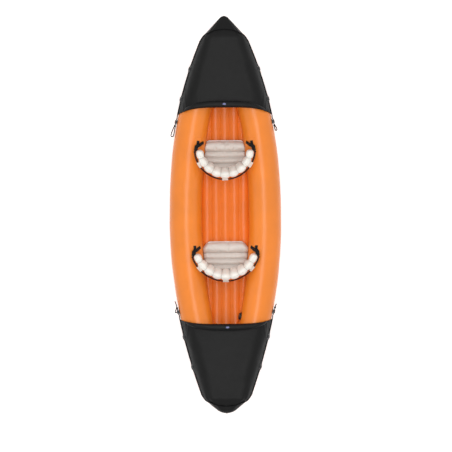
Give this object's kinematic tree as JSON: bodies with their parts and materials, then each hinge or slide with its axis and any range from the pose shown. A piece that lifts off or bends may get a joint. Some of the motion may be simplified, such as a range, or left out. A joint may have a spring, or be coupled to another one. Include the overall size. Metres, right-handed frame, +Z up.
{
  "type": "inflatable kayak",
  "caption": "Open inflatable kayak with round side tubes, a ribbed floor, fabric end covers with splash rolls, grab lines, air cushions and strapped backrests that recline.",
  "frame": {"origin": "on the ground under the middle of the hull's box", "axes": "+Y towards the bow, +X to starboard, +Z up"},
  "size_m": [0.905, 3.21, 0.3739],
  "materials": {
    "orange_pvc": "calendered PVC, satin",
    "floor_pvc": "calendered PVC, satin",
    "black_cover": "coated polyester, matte",
    "rope": "braided cord",
    "black_nylon": "moulded nylon",
    "cushion_pvc": "PVC film, satin",
    "backrest_pvc": "PVC film, satin",
    "webbing": "woven webbing",
    "valve_rubber": "moulded",
    "clear_vinyl": "moulded vinyl"
  },
  "bodies": {
    "hull": {"right_chamber": "orange_pvc", "left_chamber": "orange_pvc", "floor_top_sheet": "floor_pvc", "floor_bottom_sheet": "floor_pvc", "floor_webs": "floor_pvc", "bow_keel_strip": "orange_pvc", "stern_keel_strip": "orange_pvc", "bow_cover": "black_cover", "stern_cover": "black_cover", "bow_splash_roll": "black_cover", "stern_splash_roll": "black_cover", "bow_grab_line": "rope", "stern_grab_line": "rope", "bow_line_eyelets": "black_nylon", "stern_line_eyelets": "black_nylon", "line_tie_offs": "black_nylon", "line_ends": "rope", "bow_cushion": "cushion_pvc", "stern_cushion": "cushion_pvc", "bow_anchor_patches": "orange_pvc", "stern_anchor_patches": "orange_pvc", "bow_anchor_straps": "webbing", "stern_anchor_straps": "webbing", "bow_buckles": "black_nylon", "stern_buckles": "black_nylon", "bow_strap_tails": "webbing", "stern_strap_tails": "webbing", "right_valve_seat": "black_nylon", "left_valve_seat": "black_nylon", "floor_valve_seat": "black_nylon", "right_valve_insert": "black_nylon", "left_valve_insert": "black_nylon", "floor_valve_insert": "black_nylon", "valve_flaps": "valve_rubber", "bow_roll_stem": "clear_vinyl", "stern_roll_stem": "clear_vinyl", "bow_cushion_stem": "clear_vinyl", "stern_cushion_stem": "clear_vinyl"},
    "bow_back": {"bow_backrest": "backrest_pvc", "bow_back_strap": "webbing", "bow_strap_keepers": "backrest_pvc", "bow_back_stem": "clear_vinyl", "bow_wing_straps": "webbing", "bow_hinge_flap": "backrest_pvc"},
    "stern_back": {"stern_backrest": "backrest_pvc", "stern_back_strap": "webbing", "stern_strap_keepers": "backrest_pvc", "stern_back_stem": "clear_vinyl", "stern_wing_straps": "webbing", "stern_hinge_flap": "backrest_pvc"},
    "right_cap": {"right_valve_cap": "black_nylon"},
    "left_cap": {"left_valve_cap": "black_nylon"},
    "floor_cap": {"floor_valve_cap": "black_nylon"},
    "roll_plug_bow": {"bow_roll_plug": "clear_vinyl"},
    "roll_plug_stern": {"stern_roll_plug": "clear_vinyl"},
    "cushion_plug_bow": {"bow_cushion_plug": "clear_vinyl"},
    "cushion_plug_stern": {"stern_cushion_plug": "clear_vinyl"},
    "back_plug_bow": {"bow_back_plug": "clear_vinyl"},
    "back_plug_stern": {"stern_back_plug": "clear_vinyl"}
  },
  "joints": [
    {"name": "bow_recline", "type": "hinge", "parent": "hull", "child": "bow_back", "pos_m": [0, 0.343, 0.11563], "axis": [1, 0, 0], "range_deg": [0, 15], "deforming": ["bow_wing_straps"]},
    {"name": "stern_recline", "type": "hinge", "parent": "hull", "child": "stern_back", "pos_m": [0, -0.477, 0.11563], "axis": [1, 0, 0], "range_deg": [0, 15], "deforming": ["stern_wing_straps"]},
    {"name": "right_cap_open", "type": "hinge", "parent": "hull", "child": "right_cap", "pos_m": [0.11802, -0.82293, 0.20156], "axis": [0.196, 0.9802, -0.0288], "range_deg": [0, 140]},
    {"name": "left_cap_open", "type": "hinge", "parent": "hull", "child": "left_cap", "pos_m": [-0.09801, -0.91786, 0.20458], "axis": [0.2159, -0.9758, 0.0336], "range_deg": [0, 140]},
    {"name": "floor_cap_open", "type": "hinge", "parent": "hull", "child": "floor_cap", "pos_m": [0, 0.967, 0.11254], "axis": [-1, 0, 0], "range_deg": [0, 140]},
    {"name": "bow_roll_plug_open", "type": "hinge", "parent": "hull", "child": "roll_plug_bow", "pos_m": [-0.011, 0.89, 0.35014], "axis": [0, -1, 0], "range_deg": [0, 120]},
    {"name": "bow_cushion_plug_open", "type": "hinge", "parent": "hull", "child": "cushion_plug_bow", "pos_m": [-0.011, 0.3137, 0.11563], "axis": [0, 0, -1], "range_deg": [0, 120]},
    {"name": "bow_back_plug_open", "type": "hinge", "parent": "bow_back", "child": "back_plug_bow", "pos_m": [0, 0.29366, 0.23256], "axis": [-1, 0, 0], "range_deg": [0, 120]},
    {"name": "stern_roll_plug_open", "type": "hinge", "parent": "hull", "child": "roll_plug_stern", "pos_m": [0.00211, -0.90698, 0.35016], "axis": [0, -1, 0], "range_deg": [0, 120]},
    {"name": "stern_cushion_plug_open", "type": "hinge", "parent": "hull", "child": "cushion_plug_stern", "pos_m": [-0.011, -0.5063, 0.11563], "axis": [0, 0, -1], "range_deg": [0, 120]},
    {"name": "stern_back_plug_open", "type": "hinge", "parent": "stern_back", "child": "back_plug_stern", "pos_m": [0, -0.52634, 0.23256], "axis": [-1, 0, 0], "range_deg": [0, 120]}
  ]
}
